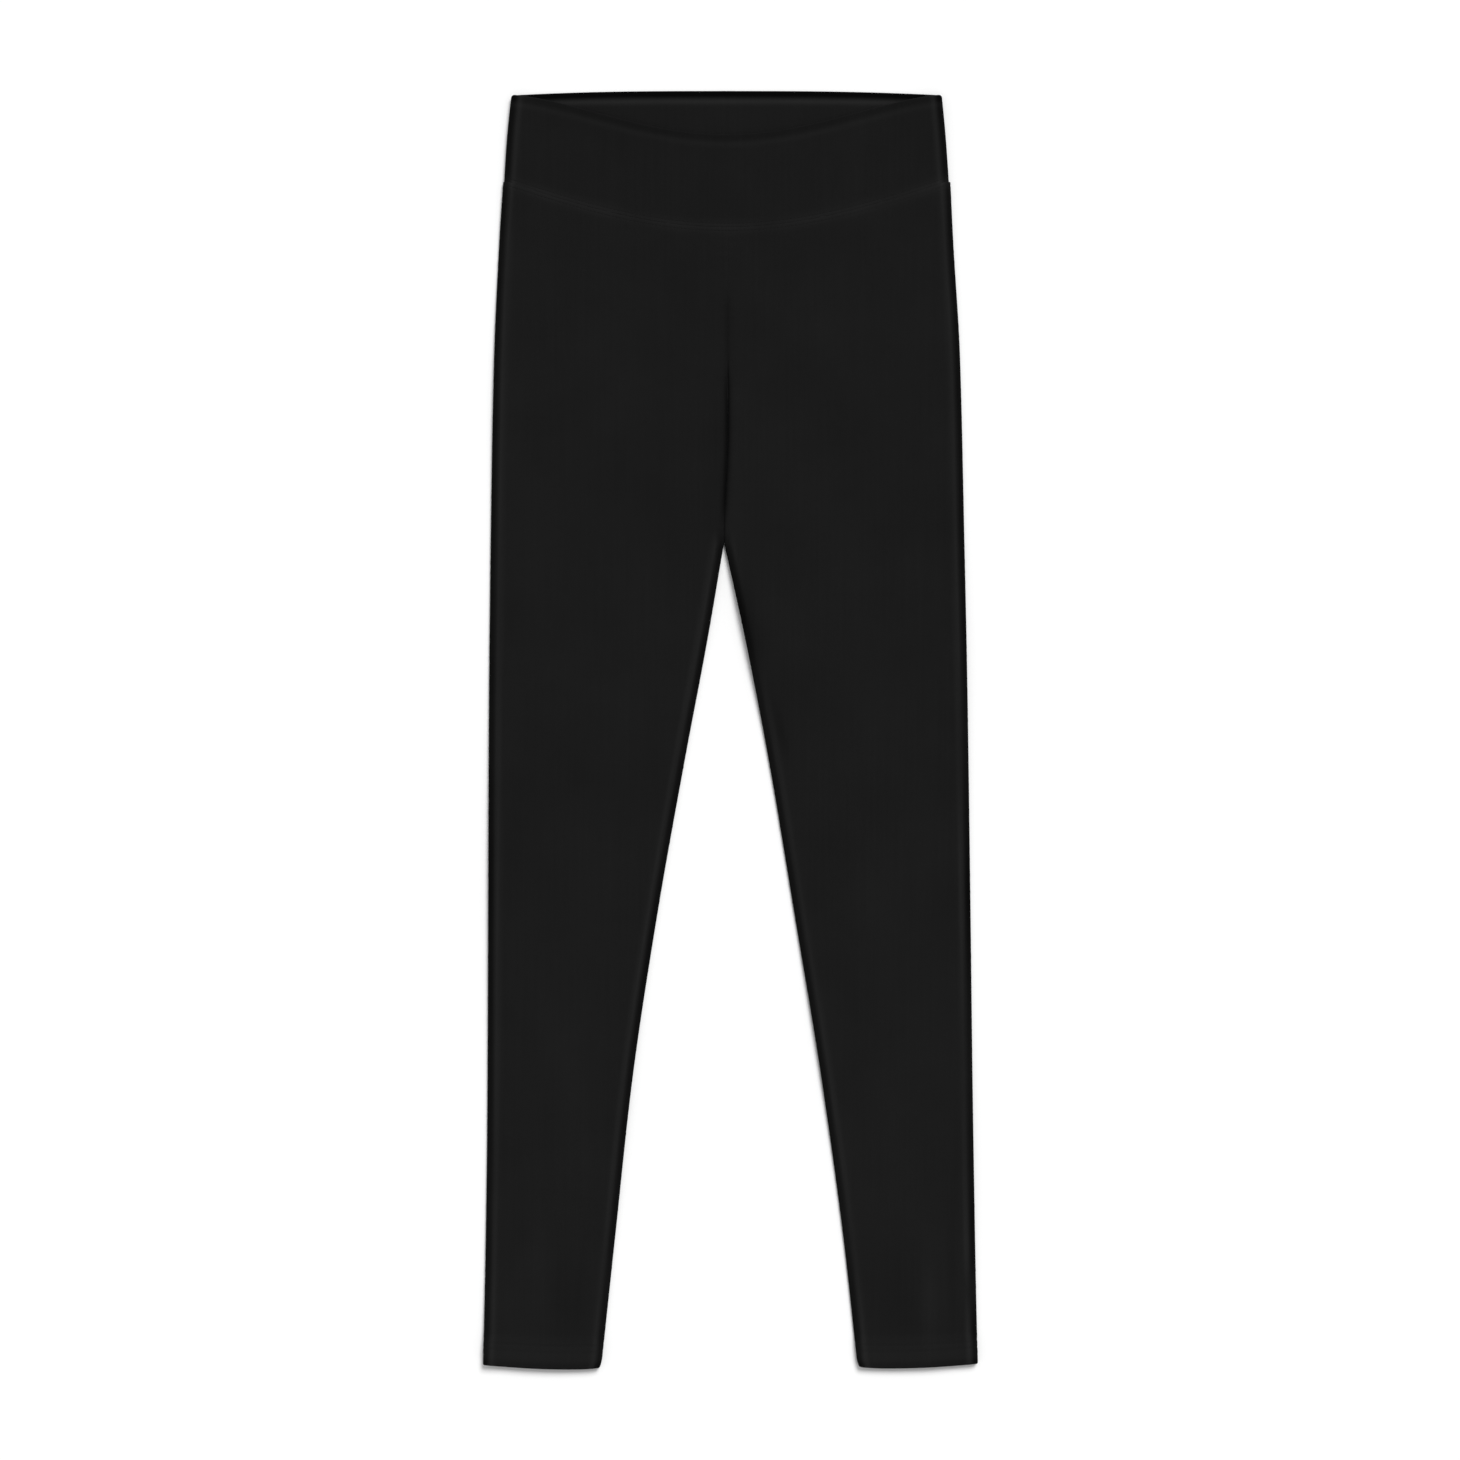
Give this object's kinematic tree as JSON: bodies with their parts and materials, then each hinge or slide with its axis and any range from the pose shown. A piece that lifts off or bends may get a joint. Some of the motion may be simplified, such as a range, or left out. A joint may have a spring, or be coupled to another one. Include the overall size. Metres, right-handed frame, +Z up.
{
  "type": "leggings, laid flat",
  "caption": "Full-length leggings laid flat, front side up, with a wide waistband that dips in front, a rise seam, slim tapered legs and turned-up hems.",
  "frame": {"origin": "centre of the garment's outline, on the surface it lies on", "axes": "+X towards the wearer's left, +Y from the hems to the waist, +Z up from the surface, front side up"},
  "size_m": [0.3884, 1.004, 0.0051],
  "materials": {
    "jersey": "black stretch cotton jersey, fine knit, matt with a faint sheen",
    "waistband": "black stretch cotton jersey, double layer, matt"
  },
  "bodies": {
    "root": {"back_right_leg": "jersey", "front_right_leg": "jersey", "back_left_leg": "jersey", "front_left_leg": "jersey", "waistband_back": "waistband", "waistband_front": "waistband"}
  },
  "joints": []
}
